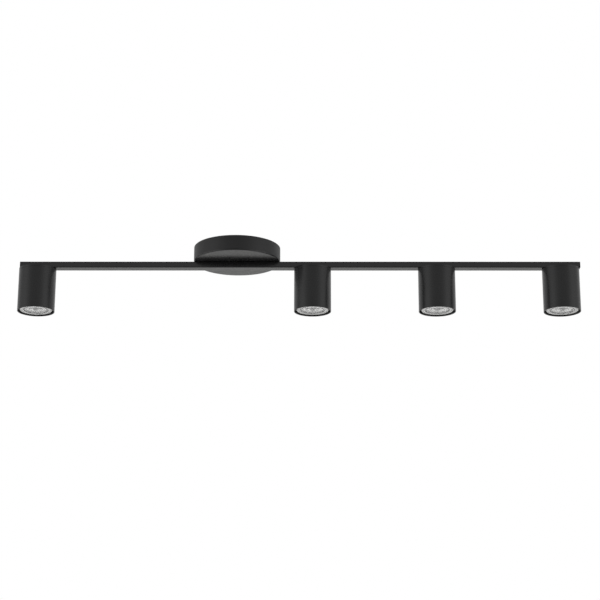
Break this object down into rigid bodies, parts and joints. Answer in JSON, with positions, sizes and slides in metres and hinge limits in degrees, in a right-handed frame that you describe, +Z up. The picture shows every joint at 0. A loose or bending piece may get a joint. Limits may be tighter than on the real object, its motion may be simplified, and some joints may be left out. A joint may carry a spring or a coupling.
{
  "type": "ceiling spot bar",
  "caption": "Ceiling spotlight bar: a round canopy holds a slim channel off centre, with round heads flush under it that pan and tilt.",
  "frame": {"origin": "centre of the mounting plate's top face, in the ceiling plane", "axes": "+Z up into the ceiling; +X along the bar towards its longer side; -Y is the front, and the hinges are at +Y"},
  "size_m": [0.873, 0.1346, 0.1025],
  "materials": {
    "satin_black": "satin powder coat",
    "black_plastic": "satin moulded",
    "zinc_steel": "zinc plated",
    "black_screw": "black oxide",
    "brass": "machined",
    "ceramic": null,
    "lamp_shell": "moulded lamp shell",
    "lamp_glass": "moulded clear lens",
    "white_nylon": "natural nylon",
    "green_screw": "green earth screw",
    "cable_sheath": "heat-proof sleeve",
    "earth_sheath": "green earth wire"
  },
  "bodies": {
    "root": {"mounting_plate": "zinc_steel", "canopy_cover": "satin_black", "canopy_screw_left": "black_screw", "canopy_screw_right": "black_screw", "ground_screw": "green_screw", "terminal_block": "white_nylon", "canopy_nipple": "brass", "nipple_nut": "brass", "clamp_plate": "zinc_steel", "track_channel": "satin_black", "track_cover": "black_plastic", "end_cap_left": "black_plastic", "end_cap_right": "black_plastic", "feed_cable_left": "cable_sheath", "feed_cable_right": "cable_sheath", "ground_wire": "earth_sheath"},
    "swivel_1": {"swivel_disc_1": "satin_black", "swivel_stud_1": "zinc_steel", "swivel_nut_1": "zinc_steel", "hinge_pin_1": "zinc_steel", "lamp_lead_1": "cable_sheath"},
    "head_1": {"head_housing_1": "satin_black", "head_cap_1": "satin_black", "lamp_holder_1": "ceramic", "holder_screw_1": "zinc_steel", "lamp_body_1": "lamp_shell", "lamp_lens_1": "lamp_glass"},
    "swivel_2": {"swivel_disc_2": "satin_black", "swivel_stud_2": "zinc_steel", "swivel_nut_2": "zinc_steel", "hinge_pin_2": "zinc_steel", "lamp_lead_2": "cable_sheath"},
    "head_2": {"head_housing_2": "satin_black", "head_cap_2": "satin_black", "lamp_holder_2": "ceramic", "holder_screw_2": "zinc_steel", "lamp_body_2": "lamp_shell", "lamp_lens_2": "lamp_glass"},
    "swivel_3": {"swivel_disc_3": "satin_black", "swivel_stud_3": "zinc_steel", "swivel_nut_3": "zinc_steel", "hinge_pin_3": "zinc_steel", "lamp_lead_3": "cable_sheath"},
    "head_3": {"head_housing_3": "satin_black", "head_cap_3": "satin_black", "lamp_holder_3": "ceramic", "holder_screw_3": "zinc_steel", "lamp_body_3": "lamp_shell", "lamp_lens_3": "lamp_glass"},
    "swivel_4": {"swivel_disc_4": "satin_black", "swivel_stud_4": "zinc_steel", "swivel_nut_4": "zinc_steel", "hinge_pin_4": "zinc_steel", "lamp_lead_4": "cable_sheath"},
    "head_4": {"head_housing_4": "satin_black", "head_cap_4": "satin_black", "lamp_holder_4": "ceramic", "holder_screw_4": "zinc_steel", "lamp_body_4": "lamp_shell", "lamp_lens_4": "lamp_glass"}
  },
  "joints": [
    {"name": "pan_1", "type": "hinge", "parent": "root", "child": "swivel_1", "pos_m": [-0.3108, 0, -0.0355], "axis": [0, 0, 1], "range_deg": [-175, 175]},
    {"name": "tilt_1", "type": "hinge", "parent": "swivel_1", "child": "head_1", "pos_m": [-0.3108, 0.026, -0.0372], "axis": [1, 0, 0], "range_deg": [0, 90], "deforming": ["lamp_lead_1"]},
    {"name": "pan_2", "type": "hinge", "parent": "root", "child": "swivel_2", "pos_m": [0.1178, 0, -0.0355], "axis": [0, 0, 1], "range_deg": [-175, 175]},
    {"name": "tilt_2", "type": "hinge", "parent": "swivel_2", "child": "head_2", "pos_m": [0.1178, 0.026, -0.0372], "axis": [1, 0, 0], "range_deg": [0, 90], "deforming": ["lamp_lead_2"]},
    {"name": "pan_3", "type": "hinge", "parent": "root", "child": "swivel_3", "pos_m": [0.3108, 0, -0.0355], "axis": [0, 0, 1], "range_deg": [-175, 175]},
    {"name": "tilt_3", "type": "hinge", "parent": "swivel_3", "child": "head_3", "pos_m": [0.3108, 0.026, -0.0372], "axis": [1, 0, 0], "range_deg": [0, 90], "deforming": ["lamp_lead_3"]},
    {"name": "pan_4", "type": "hinge", "parent": "root", "child": "swivel_4", "pos_m": [0.5038, 0, -0.0355], "axis": [0, 0, 1], "range_deg": [-175, 175]},
    {"name": "tilt_4", "type": "hinge", "parent": "swivel_4", "child": "head_4", "pos_m": [0.5038, 0.026, -0.0372], "axis": [1, 0, 0], "range_deg": [0, 90], "deforming": ["lamp_lead_4"]}
  ]
}
